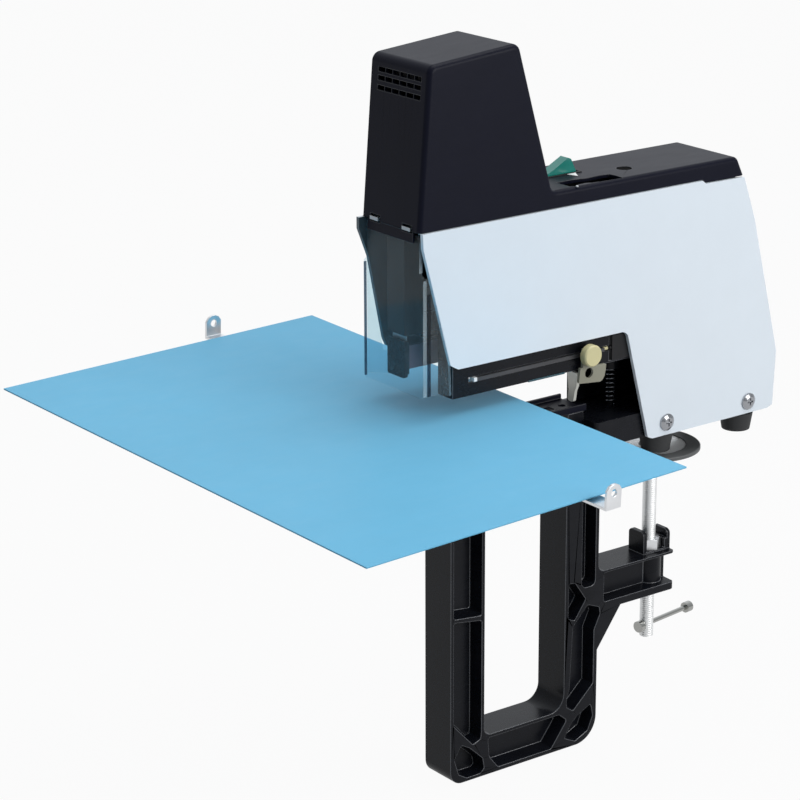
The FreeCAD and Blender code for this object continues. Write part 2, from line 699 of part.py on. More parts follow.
def build_rear():
    strip = [
        (216.5, 147.8), (225.6, 123.0), (245.4, 44.0), (244.6, d.base_top + 0.1), (246.6, d.base_top + 0.1),
        (247.4, 44.1), (227.4, 123.5), (218.5, 147.8),
    ]
    skin = prism("rear_skin", "yz", [strip], -23.2, 23.2)
    hole = box("rear_hole", (-11.1, 11.1), (240, 250), (28.4, 41.6))
    finish(cut("rear_done", skin, [hole]), "rear_cover")
    block = box("inlet", (-11, 11), (230, 247.3), (28.5, 41.5))
    room = box("inlet_room", (-9, 9), (233, 250), (30.3, 39.7))
    shell = cut("inlet_shell", block, [room])
    pins = []
    for x, z in ((-5, 34), (0, 36.2), (5, 34)):
        pins.append(box("inlet_pin", (x - 1, x + 1), (232, 244), (z - 1.6, z + 1.6)))
    finish(fuse("inlet_done", [shell] + pins), "power_inlet")


# The fixed upper arm that guides the stop rail


def build_upper_arm():
    half = d.housing_half
    wall = 2
    outer = [
        (-half, d.far_low), (-half + wall, d.far_low), (-half + wall, d.housing_top - wall),
        (half - wall, d.housing_top - wall), (half - wall, d.housing_low), (half, d.housing_low),
        (half, d.housing_top), (-half, d.housing_top),
    ]
    channel = prism("housing", "xz", [outer], d.housing_front, 190)
    face = [
        (9.6, d.housing_low), (half - 1, d.housing_low), (half - 1, d.housing_top - 1),
        (9.6, d.housing_top - 1),
    ]
    far_face = [
        (1 - half, d.far_low), (-9.6, d.far_low), (-9.6, d.housing_top - 1), (1 - half, d.housing_top - 1),
    ]
    fronts = [prism("housing_face", "xz", [loop], d.housing_front, 21) for loop in (face, far_face)]
    whole = fuse("housing_whole", [channel] + fronts)
    tools = [
        box("rail_slot", (18, 24), (30, 127), (65.6, 68.4)),
        box("switch_bay", (18, 24), (126.3, 141), (59.9, 74.1)),
        box("plunger_gap", (-9.6, 9.6), (10, 42), (90, 110)),
        box("lip_seat", (half - 0.9, half + 1), (69.9, 95.1), (d.housing_low - 1, 59.3)),
    ]
    finish(cut("housing_done", whole, tools), "upper_arm")
    lip = box("lip", (half - 0.9, half + 0.3), (70, 95), (d.housing_low - 0.3, 59.2))
    finish(lip, "arm_lip")
    body = box("switch", (18.2, 23.1), (127.4, 140.9), (60, 74))
    button = rod("switch_button", "y", (21.4, 126.5, 67), 1.0, 1.2)
    finish(fuse("switch_done", [body, button]), "micro_switch")


def build_stop():
    rail = box("stop_bar", (19.4, 23.2), (34.5, 122), (66, 68))
    tail = rod("stop_tail", "y", (21.3, 121, 67), 4.4, 0.8)
    finish(fuse("stop_rail_done", [rail, tail]), "stop_rail")
    finish(box("tip", (19.3, 23.3), (32.3, 34.5), (65.9, 68.1)), "rail_tip")
    outline = [
        (102.3, 52.0), (117.3, 50.5), (118.7, 51.1), (120.2, 53.0), (121.0, 56.4), (121.3, 60.0), (112, 60.3),
        (112, 71), (104.8, 71), (104.8, 60.5), (103.2, 60.5),
    ]
    plate = prism("bracket", "yz", [outline], 23.9, 25.5,
                  rings=[(109.3, 56.9, 2.85), (d.stop_y, d.stop_height, 2.0)])
    round_edges(plate, "yz", 1.0, [(102.3, 52.0), (121.3, 60.0)])
    finish(plate, "stop_bracket")
    tongue = [(16.3, 40.7), (21.2, 40.6), (22.3, 47), (23.9, 50.5), (23.9, 57.5), (16, 57.5), (17.2, 46.8)]
    finger = prism("finger", "xz", [tongue], 102.0, 103.8)
    round_edges(finger, "xz", 1.5, [(16.3, 40.7), (21.2, 40.6)])
    finish(finger, "stop_finger")
    grip = rod("knob_grip", "x", (26.1, d.stop_y, d.stop_height), 3.6, 6.0)
    crown = rod("knob_crown", "x", (29.7, d.stop_y, d.stop_height), 0.8, 6.0, 5.3)
    shank = rod("knob_shank", "x", (23.25, d.stop_y, d.stop_height), 3, 1.9)
    finish(fuse("knob_whole", [grip, crown, shank]), "stop_knob")


# The swinging head with its magazine and driver


def build_head():
    top = [(13, 88.5), (13, 91.5), (218, 91.5), (218, 70), (192, 70), (150, 74), (116, 75), (116, 88.5)]
    cheeks = []
    for low in (-9.2, 7.5):
        cheeks.append(prism("head_cheek", "yz", [top], low, low + 1.7))
    roof = box("head_roof", (-9.2, 9.2), (13, 218), (89.5, 91.5))
    boss = rod("head_boss", "z", (0, d.spring_y, 47), 43, 5.0)
    web = box("head_web", (-8, 8), (d.spring_y - 5, d.spring_y + 5), (76, 80))
    hubs = [rod("head_hub", "x", (-14.4, d.pivot_y, d.pivot_height), 28.8, 8.0)]
    whole = fuse("head_whole", cheeks + [roof, boss, web] + hubs)
    bore = rod("head_bore", "x", (-20, d.pivot_y, d.pivot_height), 40, d.pivot_radius + 0.05)
    finish(cut("head_done", whole, [bore]), "head_arm")
    pin = rod("pivot", "x", (-21.5, d.pivot_y, d.pivot_height), 43, d.pivot_radius)
    caps = [rod("pivot_cap", "x", (x, d.pivot_y, d.pivot_height), 1.2, 6.0) for x in (-21.6, 20.4)]
    finish(fuse("pivot_done", [pin] + caps), "arm_pivot_pin")
    face = [(-d.nose_half, d.nose_low), (d.nose_half, d.nose_low), (d.nose_half, 90), (-d.nose_half, 90)]
    nose = prism("nose", "xz", [face], -1.1, 1.05)
    round_edges(nose, "xz", 1.2, [(-d.nose_half, d.nose_low), (d.nose_half, d.nose_low)])
    ribs = [box("nose_rib", (x, x + 1.0), (1.0, 2.1), (d.nose_low + 2, 89)) for x in (-7.4, 6.4)]
    finish(fuse("nose_done", [nose] + ribs), "nose_plate")
    channel = prism("magazine", "xz", [[
        (-7.3, 74.9), (7.3, 74.9), (7.3, 87.5), (6.3, 87.5), (6.3, 75.9), (-6.3, 75.9), (-6.3, 87.5),
        (-7.3, 87.5),
    ]], 2.15, 112)
    ties = [box("magazine_tie", (-7.4, 7.4), (y, y + 6), (87.4, 89.5)) for y in (16, 100)]
    core = box("magazine_core", (-4.9, 4.9), (2.2, 110), (75.8, 81.0))
    finish(fuse("magazine_done", [channel, core] + ties), "magazine_channel")
    row = [
        (-6.1, 76.1), (-5.2, 76.1), (-5.2, 81.2), (5.2, 81.2), (5.2, 76.1), (6.1, 76.1), (6.1, 82.1),
        (-6.1, 82.1),
    ]
    finish(prism("staples", "xz", [row], 2.2, 60), "staple_strip")
    push = [
        (-6.1, 76.3), (-5.2, 76.3), (-5.2, 81.2), (5.2, 81.2), (5.2, 76.3), (6.1, 76.3), (6.1, 86.8),
        (-6.1, 86.8),
    ]
    slide = prism("pusher", "xz", [push], 60.1, 70)
    finish(slide, "staple_pusher")
    blade = box("blade", (-5.9, 5.9), (1.2, 1.9), (82.6, 106))
    finish(blade, "driver_blade")
    side = [(2.0, 95), (9, 95), (11, 104), (36, 104), (36, 111), (33, 112), (16, 112), (13, 106), (2.0, 106)]
    holder = prism("striker", "yz", [side], -6, 6)
    finish(holder, "driver_holder")


def build_solenoid():
    y = d.coil_y
    half = d.yoke_half
    walls = []
    for low in (-half, half - 2):
        walls.append(box("yoke_wall", (low, low + 2), (y - 14, y + 14), (d.housing_top, 228)))
    plates = []
    for z in (168, 225):
        plates.append(box("yoke_plate", (-half, half), (y - 16, y + 16), (z, z + 3)))
    whole = fuse("yoke_whole", walls + plates)
    hole = rod("yoke_hole", "z", (0, y, 160), 20, 9.6)
    finish(cut("yoke_done", whole, [hole]), "solenoid_yoke")
    winding = rod("winding", "z", (0, y, 173), 50, 16.3)
    flanges = [rod("bobbin", "z", (0, y, z), 2, 17.0) for z in (171, 223)]
    body = fuse("coil_body", [winding] + flanges)
    bore = rod("coil_bore", "z", (0, y, 165), 70, 9.5)
    finish(cut("coil_done", body, [bore]), "solenoid_coil")
    core = rod("core", "z", (0, y, 172), 44, 9.2)
    push = rod("push_rod", "z", (0, y, 112.6), 60, 4.0)
    finish(fuse("plunger_done", [core, push]), "plunger")


def build_driver_housing():
    front = box("guide_front", (-7.4, 7.4), (-1.0, -0.1), (93, 144))
    sides = []
    for low in (-7.4, 6.6):
        sides.append(box("guide_side", (low, low + 0.8), (-1.0, 12), (93, 144)))
        sides.append(box("guide_reach", (low, low + 0.8), (11, d.housing_front), (93, 103)))
    for x in ((-12, -6.6), (6.6, 12)):
        sides.append(box("guide_flange", x, (17.5, d.housing_front), (93, 103)))
    finish(fuse("guide_done", [front] + sides), "driver_housing")


def build_guard():
    wall = d.guard_wall
    front = -2.7
    back = front + wall
    half = d.body_half
    low = d.guard_low
    pane = prism("guard_pane", "xz", [[
        (-half, low), (half, low), (half, 127.4), (22.4, 130), (22.4, 149.6), (-22.4, 149.6), (-22.4, 130),
        (-half, 127.4),
    ]], front, back)
    round_edges(pane, "xz", 2, [(-half, low), (half, low)])
    left = [
        (back - 0.6, 66), (15.1, 62), (14.8, 74.5), (8.6, 76.5), (7.4, 84), (-1.2, 127.4),
        (back - 0.6, 127.4),
    ]
    right = [(back - 0.6, 66), (15.1, 62), (14.4, 79), (1.4, 127.4), (back - 0.6, 127.4)]
    wings = [
        prism("guard_wing", "yz", [left], -half, -half + wall),
        prism("guard_wing", "yz", [right], half - wall, half),
    ]
    hooks = []
    for sign in (-1, 1):
        x = 13.7 * sign
        hooks.append(box("guard_hook", (x - 3.7, x + 3.7), (front, back), (149, 153)))
        hooks.append(box("guard_hook", (x - 3.7, x + 3.7), (-4.6, back), (151.2, 153)))
    finish(fuse("guard_done", [pane] + wings + hooks), "front_guard")


# The table clamp


def build_clamp():
    y = d.screw_y
    corner = 6.5 / math.cos(math.radians(30))
    hexagon = []
    for i in range(6):
        turn = math.radians(60 * i)
        hexagon.append((corner * math.cos(turn), y + corner * math.sin(turn)))
    nut = prism("nut", "xy", [hexagon], d.arm_top + 1.1, -59.9)
    crown = fuse("nut_crown", [
        rod("nut_round", "z", (0, y, d.arm_top), 6.6, 7.6),
        rod("nut_bevel", "z", (0, y, d.arm_top + 6.6), 1.1, 7.6, 6.2),
    ])
    body = common("nut_body", nut, crown)
    finish(cut("nut_done", body, [rod("nut_bore", "z", (0, y, -72), 16, d.nut_radius)]), "clamp_nut")
    shaft = rod("spindle", "z", (0, y, -120.2), d.pad_low - 0.4 + 120.2, d.spindle_radius)
    tip = rod("spindle_tip", "z", (0, y, -121), 0.8, 3.2, d.spindle_radius)
    neck = rod("spindle_neck", "z", (0, y, d.pad_low - 0.9), 2.1, 2.4)
    turned = fuse("spindle_whole", [shaft, tip, neck])
    lean = Rotation(Vector(0, 0, 1), 8.1)
    hole = rod("bar_hole", "y", (0, y, d.bar_height), 20, d.bar_radius + 0.06)
    hole.Placement = FreeCAD.Placement(Vector(), lean.multiply(TURNS["y"]))
    place(hole, 10 * math.sin(math.radians(8.1)), y - 10 * math.cos(math.radians(8.1)), d.bar_height)
    finish(cut("spindle_done", turned, [hole]), "clamp_spindle")
    disc = rod("pad_disc", "z", (0, y, d.pad_low), 1.5, d.pad_radius)
    rim = rod("pad_rim", "z", (0, y, d.pad_low + 1.5), 0.5, d.pad_radius, d.pad_radius - 0.5)
    whole = fuse("pad_whole", [disc, rim])
    dish = rod("pad_dish", "z", (0, y, d.pad_low + 1.5), 2, d.pad_radius - 8)
    hub = rod("pad_hub", "z", (0, y, d.pad_low + 1.4), 0.5, 7)
    hubbed = fuse("pad_hubbed", [cut("pad_dished", whole, [dish]), hub])
    socket = rod("pad_socket", "z", (0, y, d.pad_low - 1), 2.4, 2.45)
    finish(cut("pad_done", hubbed, [socket]), "clamp_pad")
    start = 4.1
    reach = 37.5
    aside = math.sin(math.radians(8.1))
    ahead = math.cos(math.radians(8.1))
    for node, first, length, radius in (
        ("tommy_bar", -start, reach + start - 0.6, d.bar_radius),
        ("tommy_cap_near", -start - 3.4, 3.4, 3.3),
        ("tommy_cap_far", reach - 3.0, 4.2, 3.1),
    ):
        item = rod(node, "y", (0, 0, 0), length, radius)
        item.Placement = FreeCAD.Placement(Vector(), lean.multiply(TURNS["y"]))
        place(item, -first * aside, y + first * ahead, d.bar_height)
        if node == "tommy_cap_far":
            hollow = rod("cap_bore", "y", (0, 0, 0), 2.4, d.bar_radius)
            hollow.Placement = FreeCAD.Placement(Vector(), lean.multiply(TURNS["y"]))
            place(hollow, -first * aside, y + first * ahead, d.bar_height)
            item = cut("cap_done", item, [hollow])
        finish(item, node)


# The flat table and the strip it lies on, turned and tilted together


def tilted(item):
    """Turn a solid drawn about the sheet's own centre into its resting pose."""
    across = Vector(0.99617, 0.07203, -0.04969)
    along = Vector(-0.07213, 0.99739, -0.00070)
    up = across.cross(along)
    turn = Rotation(across, along, up, "ZXY")
    item.Placement = FreeCAD.Placement(Vector(1.07, -40.5, 50.4), turn)
    return item


def build_table():
    half_long = d.sheet_long * 0.5
    half_short = d.sheet_short * 0.5
    outer = [
        (-half_long, -half_short), (half_long, -half_short), (half_long, half_short),
        (-half_long, half_short),
    ]
    plate = prism("table_plate", "xy", [outer], -d.sheet_thick, 0)
    finish(tilted(plate), "flat_table")
    middle = 42.0
    bar = box("strip_bar", (-160, 160), (middle - 5, middle + 5), (-3.8, -2.3))
    tabs = []
    for x in (-160.0, 158.5):
        tab = prism("strip_tab", "yz", [[
            (middle - 5, -3.8), (middle + 5, -3.8), (middle + 5, 6), (middle + 3.4, 8.2),
            (middle + 1.2, 9.2), (middle - 1.2, 9.2), (middle - 3.4, 8.2), (middle - 5, 6),
        ]], x, x + 1.5, rings=[(middle, 4.7, 2.0)])
        tabs.append(tab)
    whole = tilted(fuse("strip_whole", [bar] + tabs))
    window = box("strip_window", (-8, 8), (0.9, 5.1), (40, 52))
    finish(cut("strip_done", whole, [window]), "support_strip")
    for side, x in (("right", 60.0), ("left", -140.0)):
        outer = [(x, middle - 4.5), (x + 80, middle - 4.5), (x + 80, middle + 4.5), (x, middle + 4.5)]
        pad = prism("strip_pad", "xy", [outer], -2.3, -0.85)
        finish(tilted(round_edges(pad, "xy", 2, outer)), "strip_pad_" + side)


build_saddle_frame()
build_bed()
build_base()
build_feet()
build_panels()
build_panel_screws()
build_top_cover()
build_controls()
build_rear()
build_upper_arm()
build_stop()
build_head()
build_solenoid()
build_driver_housing()
build_guard()
build_clamp()
build_table()
coil_spring("return_spring", Vector(0, 147, 25.6), "z", 2.55, 0.5, 21.2, 8)
coil_spring("pusher_spring", Vector(0, 70.2, 84.2), "y", 1.9, 0.3, 29, 14)
print(len(done), "parts")
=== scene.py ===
import math

import bmesh
import bpy
from mathutils import Matrix, Vector

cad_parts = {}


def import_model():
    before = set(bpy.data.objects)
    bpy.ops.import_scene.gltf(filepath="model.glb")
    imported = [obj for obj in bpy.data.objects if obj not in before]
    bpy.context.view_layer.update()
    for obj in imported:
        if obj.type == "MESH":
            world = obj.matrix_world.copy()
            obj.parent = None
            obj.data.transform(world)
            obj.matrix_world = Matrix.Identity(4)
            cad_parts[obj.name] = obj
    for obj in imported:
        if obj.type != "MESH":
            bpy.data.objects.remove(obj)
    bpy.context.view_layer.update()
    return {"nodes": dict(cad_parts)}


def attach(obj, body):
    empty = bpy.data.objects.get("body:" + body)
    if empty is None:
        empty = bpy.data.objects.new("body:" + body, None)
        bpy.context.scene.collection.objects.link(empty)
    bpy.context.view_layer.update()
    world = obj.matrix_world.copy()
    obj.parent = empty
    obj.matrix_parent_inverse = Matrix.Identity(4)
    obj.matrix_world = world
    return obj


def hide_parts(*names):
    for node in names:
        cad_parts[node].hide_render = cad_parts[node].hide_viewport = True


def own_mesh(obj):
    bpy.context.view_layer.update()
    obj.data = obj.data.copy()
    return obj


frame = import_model()
nodes = frame["nodes"]
MM = 0.001

# Places and sizes on the object, in mm

SCREW_Y = 178.0
THREAD_LOW = -120.8
THREAD_HIGH = -6.5
THREAD_RADIUS = 4.0
THREAD_DEPTH = 0.14
THREAD_PITCH = 1.25
THREAD_CHAMFER = 0.5
RETURN_SPRING_FOOT = (0, 147, 25.6)
RETURN_SPRING_LENGTH = 21.2
PUSHER_SPRING_START = (0, 70.2, 84.2)
PUSHER_SPRING_LENGTH = 29
DECK_TOP = 160.3
GUARD_HALF = 25.5
GUARD_NECK_HALF = 22.4
GUARD_FRONT = -2.7
GUARD_FOOT = 64.5
GUARD_SHOULDER = 126.5
HOOK_X = 13.7
PAD_FACE_TOP = -4.22
FLOOR_HALF = 9000
FLOOR_Z = -171.0

# Camera, fitted to the object's own edges

CAMERA_DEGREES = (53.31, 17.89, -0.23)
CAMERA_PLACE = (1121.05, -833.84, 507.48)
FOCAL_SHARE = 2811.0 / 800.0
SENSOR_WIDTH = 36.0


# Materials


class Tree:
    """A node tree of one material, written with short calls."""

    def __init__(self, name):
        self.material = bpy.data.materials.new(name)
        self.material.use_nodes = True
        self.tree = self.material.node_tree
        self.tree.nodes.clear()
        self.out = self.add("ShaderNodeOutputMaterial")
        coords = self.add("ShaderNodeTexCoord")
        self.place = coords.outputs["Object"]

    def add(self, kind, **values):
        node = self.tree.nodes.new(kind)
        for key, value in values.items():
            setattr(node, key, value)
        return node

    def join(self, start, node, socket):
        self.tree.links.new(start, node.inputs[socket])

    def noise(self, per_metre, detail=3.0, rough=0.55, stretch=(1, 1, 1)):
        mapping = self.add("ShaderNodeMapping")
        mapping.inputs["Scale"].default_value = stretch
        self.join(self.place, mapping, "Vector")
        noise = self.add("ShaderNodeTexNoise")
        noise.inputs["Scale"].default_value = per_metre
        noise.inputs["Detail"].default_value = detail
        noise.inputs["Roughness"].default_value = rough
        self.join(mapping.outputs[0], noise, "Vector")
        return noise.outputs["Fac"]

    def band(self, start, low, high, low_out, high_out):
        node = self.add("ShaderNodeMapRange")
        node.inputs["From Min"].default_value = low
        node.inputs["From Max"].default_value = high
        node.inputs["To Min"].default_value = low_out
        node.inputs["To Max"].default_value = high_out
        self.join(start, node, "Value")
        return node.outputs[0]

    def blend(self, factor, one, two):
        node = self.add("ShaderNodeMix", data_type="RGBA")
        self.tree.links.new(factor, node.inputs[0])
        for item, at in ((one, 6), (two, 7)):
            if isinstance(item, tuple):
                node.inputs[at].default_value = item + (1.0,)
            else:
                self.tree.links.new(item, node.inputs[at])
        return node.outputs[2]

    def edges(self, radius):
        """Mask that is 1 on sharp outer edges."""
        bevel = self.add("ShaderNodeBevel", samples=6)
        bevel.inputs["Radius"].default_value = radius
        normal = self.add("ShaderNodeNewGeometry")
        dot = self.add("ShaderNodeVectorMath", operation="DOT_PRODUCT")
        self.join(bevel.outputs[0], dot, 0)
        self.tree.links.new(normal.outputs["True Normal"], dot.inputs[1])
        return self.band(dot.outputs["Value"], 0.98, 0.78, 0.0, 1.0)

    def facing(self):
        """Mask that is 1 on faces toward +X or toward the front."""
        normal = self.add("ShaderNodeNewGeometry")
        parts = self.add("ShaderNodeSeparateXYZ")
        self.tree.links.new(normal.outputs["True Normal"], parts.inputs[0])
        most = self.add("ShaderNodeMath", operation="MAXIMUM")
        self.join(self.band(parts.outputs["X"], 0.15, 0.2, 0.0, 1.0), most, 0)
        self.join(self.band(parts.outputs["Y"], -0.15, -0.2, 0.0, 1.0), most, 1)
        return most.outputs[0]


def lighter(color, by, plus=0.0):
    """Colour times a factor, plus a share of white."""
    return tuple(min(1.0, c * by + plus) for c in color)


def surface(name, color, rough, metal=0.0, coat=0.0, grain=0.5, depth=0.01, vary=0.06, edge=None,
            edge_width=0.4, stretch=(1, 1, 1), specular=0.5, cloud=0.0, inner=None, uneven=0.18):
    """Opaque finish: colour clouds, grain bump, uneven gloss, and a lighter colour on sharp edges that is
    a painted highlight. Lengths in mm.
    """
    t = Tree(name)
    body = t.add("ShaderNodeBsdfPrincipled")
    fine = t.noise(1000.0 / grain, 4.0, 0.6, stretch)
    wide = t.noise(38.0, 4.0, 0.6)
    smear = t.noise(160.0, 5.0, 0.65, (1, 0.35, 1))
    tone = t.blend(t.band(wide, 0.3, 0.7, 0.0, 1.0), lighter(color, 1 - vary), lighter(color, 1 + vary))
    if cloud:
        tone = t.blend(t.band(smear, 0.45, 0.75, 0.0, cloud), tone, lighter(color, 1.3, 0.02))
    # Lighter colour on sharp edges, broken up by noise: a painted highlight.
    if edge:
        highlight_mask = t.edges(edge_width * MM)
        highlight_share = t.add("ShaderNodeMath", operation="MULTIPLY")
        t.join(highlight_mask, highlight_share, 0)
        t.join(t.band(smear, 0.25, 0.6, 0.35, 1.0), highlight_share, 1)
        tone = t.blend(highlight_share.outputs[0], tone, edge)
    # Faces toward +X or toward the front take the inner colour: a painted shade.
    if inner:
        tone = t.blend(t.facing(), tone, inner)
    t.join(tone, body, "Base Color")
    gloss = t.band(smear, 0.2, 0.8, rough * (1 - uneven), min(1.0, rough * (1 + uneven)))
    t.join(gloss, body, "Roughness")
    body.inputs["Metallic"].default_value = metal
    body.inputs["Specular IOR Level"].default_value = specular
    body.inputs["Coat Weight"].default_value = coat
    body.inputs["Coat Roughness"].default_value = 0.08
    bump = t.add("ShaderNodeBump")
    bump.inputs["Strength"].default_value = 1.0
    bump.inputs["Distance"].default_value = depth * MM
    t.join(fine, bump, "Height")
    t.join(bump.outputs[0], body, "Normal")
    t.join(body.outputs[0], t.out, "Surface")
    return t.material


def clear_plastic(name, tint, haze):
    """Thin clear sheet: what lies behind shows through, with a mirror share that grows at low angles."""
    t = Tree(name)
    see = t.add("ShaderNodeBsdfTransparent")
    see.inputs["Color"].default_value = tint + (1.0,)
    shine = t.add("ShaderNodeBsdfGlossy")
    shine.inputs["Color"].default_value = (1.0, 1.0, 1.0, 1.0)
    scuff = t.noise(260.0, 5.0, 0.65, (1, 1, 0.3))
    t.join(t.band(scuff, 0.35, 0.8, 0.04, 0.16), shine, "Roughness")
    bump = t.add("ShaderNodeBump")
    bump.inputs["Distance"].default_value = 0.01 * MM
    t.join(t.noise(60.0, 2.0), bump, "Height")
    t.join(bump.outputs[0], shine, "Normal")
    layer = t.add("ShaderNodeLayerWeight")
    layer.inputs["Blend"].default_value = 0.5
    steep = t.add("ShaderNodeMath", operation="POWER")
    t.join(layer.outputs["Facing"], steep, 0)
    steep.inputs[1].default_value = 4.0
    mixed = t.add("ShaderNodeMixShader")
    t.join(t.band(steep.outputs[0], 0.0, 1.0, 0.008, 0.3), mixed, 0)
    t.join(see.outputs[0], mixed, 1)
    t.join(shine.outputs[0], mixed, 2)
    milk = t.add("ShaderNodeBsdfDiffuse")
    milk.inputs["Color"].default_value = (0.86, 0.93, 0.96, 1.0)
    last = t.add("ShaderNodeMixShader")
    smudge = t.add("ShaderNodeMath", operation="MULTIPLY")
    t.join(t.band(scuff, 0.3, 0.8, haze * 0.6, haze * 1.4), smudge, 0)
    path = t.add("ShaderNodeLightPath")
    lit = t.add("ShaderNodeMath", operation="SUBTRACT")
    lit.inputs[0].default_value = 1.0
    t.join(path.outputs["Is Shadow Ray"], lit, 1)
    t.join(lit.outputs[0], smudge, 1)
    t.join(smudge.outputs[0], last, 0)
    t.join(mixed.outputs[0], last, 1)
    t.join(milk.outputs[0], last, 2)
    t.join(last.outputs[0], t.out, "Surface")
    return t.material


M = {}


def opaque(name, color, rough, **more):
    M[name] = surface(name, color, rough, **more)


def clear(name, tint, haze):
    M[name] = clear_plastic(name, tint, haze)


# Painted castings and covers

opaque("cast", (0.0048, 0.0054, 0.008), 0.28, grain=1.1, depth=0.012, vary=0.2, specular=0.18, cloud=0.12)
# Lighter, glossier copy of the casting paint for rounded edges: a painted highlight.
opaque("cast_highlight", (0.055, 0.058, 0.066), 0.26, grain=1.1, depth=0.004, vary=0.25, specular=0.8,
       cloud=0.3)
# The panel's lighter edge colour is a painted highlight.
opaque("panel", (0.7, 0.765, 0.82), 0.2, coat=0.4, grain=2.2, depth=0.004, vary=0.012,
       edge=(0.86, 0.9, 0.93), edge_width=0.3)
# Far panel: its inner face, toward +X, takes a dark teal that is a painted shade.
opaque("panel_far_painted_shade", (0.7, 0.765, 0.82), 0.22, coat=0.2, grain=2.2, depth=0.004, vary=0.012,
       inner=(0.055, 0.085, 0.1))
# Lighter copy of the panel paint for rounded edges: a painted highlight.
opaque("panel_highlight", (0.74, 0.8, 0.85), 0.2, coat=0.4, grain=1.0, depth=0.004, vary=0.02)
opaque("cover", (0.0033, 0.0039, 0.0112), 0.38, grain=0.35, depth=0.012, vary=0.05, specular=0.11,
       cloud=0.02, uneven=0.06)
# Lighter copy of the cover plastic for rounded edges: a painted highlight.
opaque("cover_highlight", (0.01, 0.011, 0.016), 0.3, grain=0.35, depth=0.006, vary=0.15, specular=0.4)
# Dark teal on the arm's lip: a painted reflection of the blue sheet, seen through the clear guard.
opaque("lip", (0.022, 0.075, 0.1), 0.3, grain=0.6, depth=0.004, vary=0.08)

# Bare and plated metal

opaque("bolt", (0.42, 0.43, 0.45), 0.16, metal=1.0, grain=1.2, depth=0.003, vary=0.06)
opaque("zinc", (0.6, 0.61, 0.62), 0.34, metal=1.0, grain=0.25, depth=0.006, vary=0.08,
       stretch=(0.12, 1, 1))
opaque("bright", (0.9, 0.91, 0.92), 0.3, metal=1.0, grain=0.3, depth=0.005, vary=0.06, cloud=0.1)
opaque("spindle", (0.97, 0.98, 0.96), 0.5, metal=1.0, grain=0.3, depth=0.006, vary=0.08)
opaque("steel", (0.34, 0.35, 0.37), 0.34, metal=1.0, grain=0.3, depth=0.006, vary=0.1,
       stretch=(1, 0.1, 1))
opaque("dark_steel", (0.07, 0.07, 0.075), 0.38, metal=0.6, grain=0.4, depth=0.006, vary=0.12)
opaque("chrome", (0.48, 0.48, 0.455), 0.14, metal=1.0, grain=1.5, depth=0.002, vary=0.04)
opaque("dull_zinc", (0.56, 0.56, 0.51), 0.4, metal=0.7, grain=0.5, depth=0.004, vary=0.05)
opaque("spring", (0.25, 0.26, 0.28), 0.24, metal=1.0, grain=0.3, depth=0.003, vary=0.1)
opaque("channel", (0.11, 0.085, 0.115), 0.4, metal=0.5, grain=0.3, depth=0.006, vary=0.1)
opaque("pad_face", (0.72, 0.73, 0.73), 0.28, metal=0.5, grain=0.5, depth=0.01, vary=0.12, cloud=0.4)

# Plastic, rubber and foam

opaque("black", (0.005, 0.005, 0.0062), 0.5, grain=0.4, depth=0.008, vary=0.1, specular=0.3)
# Near-black without sheen: painted shade in the slider well's recess, and partly the status lens's own
# dark colour.
opaque("lens_black_and_painted_shade", (0.002, 0.002, 0.002), 0.9, grain=0.5, depth=0.004, vary=0.1, specular=0.05)
opaque("rubber", (0.017, 0.018, 0.019), 0.6, grain=0.3, depth=0.02, vary=0.15, cloud=0.2)
opaque("pad", (0.085, 0.088, 0.088), 0.45, grain=0.4, depth=0.015, vary=0.15, cloud=0.2)
opaque("foam", (0.02, 0.02, 0.022), 0.9, grain=0.6, depth=0.08, vary=0.2)
opaque("cream", (0.58, 0.53, 0.29), 0.4, coat=0.15, grain=0.8, depth=0.003, vary=0.03)
opaque("white", (0.85, 0.85, 0.84), 0.3, grain=0.4, depth=0.004, vary=0.03)
opaque("pale", (0.52, 0.53, 0.54), 0.35, grain=0.4, depth=0.004, vary=0.04)
opaque("teal", (0.012, 0.2, 0.165), 0.2, coat=0.5, grain=1.0, depth=0.004, vary=0.12)
# The bracket's lighter edge colour is a painted highlight.
opaque("beige", (0.235, 0.23, 0.175), 0.42, grain=0.8, depth=0.004, vary=0.05, edge=(0.55, 0.53, 0.46),
       edge_width=0.25)

# Sheet, board and coil tape

opaque("sheet", (0.138, 0.432, 0.64), 0.5, grain=0.8, depth=0.004, vary=0.015, cloud=0.03, specular=0.2)
opaque("board", (0.02, 0.12, 0.05), 0.35, grain=0.6, depth=0.01, vary=0.15)
opaque("tape", (0.008, 0.007, 0.006), 0.6, specular=0.05, grain=0.5, depth=0.03, vary=0.15,
       stretch=(0.1, 0.1, 1))

# Clear guard

clear("guard", (0.88, 0.94, 0.96), 0.03)
# Pale guard edge: a painted highlight, partly the bend's own haze. Dark guard edge: painted shade, partly
# the glue's own tint.
clear("bend_haze_and_edge_highlight", (0.9, 0.94, 0.95), 0.13)
clear("glue_tint_and_edge_shade", (0.3, 0.36, 0.42), 0.015)

# Finish of each CAD node

